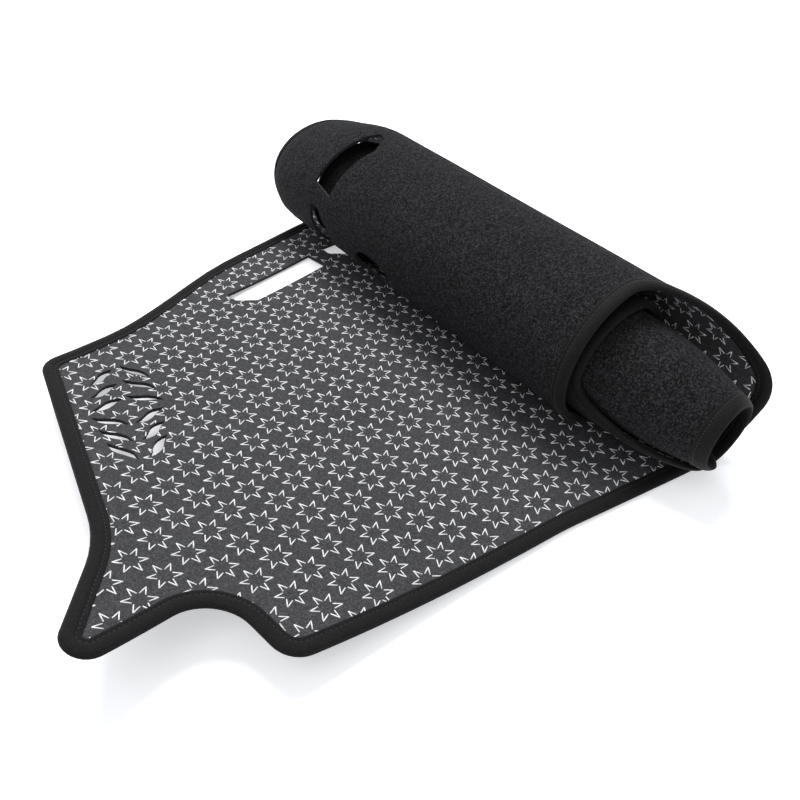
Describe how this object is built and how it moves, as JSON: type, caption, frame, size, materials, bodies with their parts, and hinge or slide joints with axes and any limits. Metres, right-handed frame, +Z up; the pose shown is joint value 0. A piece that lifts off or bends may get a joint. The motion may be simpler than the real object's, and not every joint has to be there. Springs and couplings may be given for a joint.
{
  "type": "dashboard cover mat",
  "caption": "Felt dashboard cover mat, partly rolled up with its grip-printed backing inside, with air slots, speaker slits and a bound edge.",
  "frame": {"origin": "middle of the mat's base", "axes": "+Z up; +Y along the roll, away from the mat's front edge; +X from the open end towards the roll"},
  "size_m": [0.5334, 0.5478, 0.1408],
  "materials": {
    "mat_sheet": "napped felt, grey grip-printed backing",
    "edge_binding": "matte woven tape"
  },
  "bodies": {
    "root": {"mat_sheet": "mat_sheet", "edge_binding": "edge_binding"}
  },
  "joints": []
}
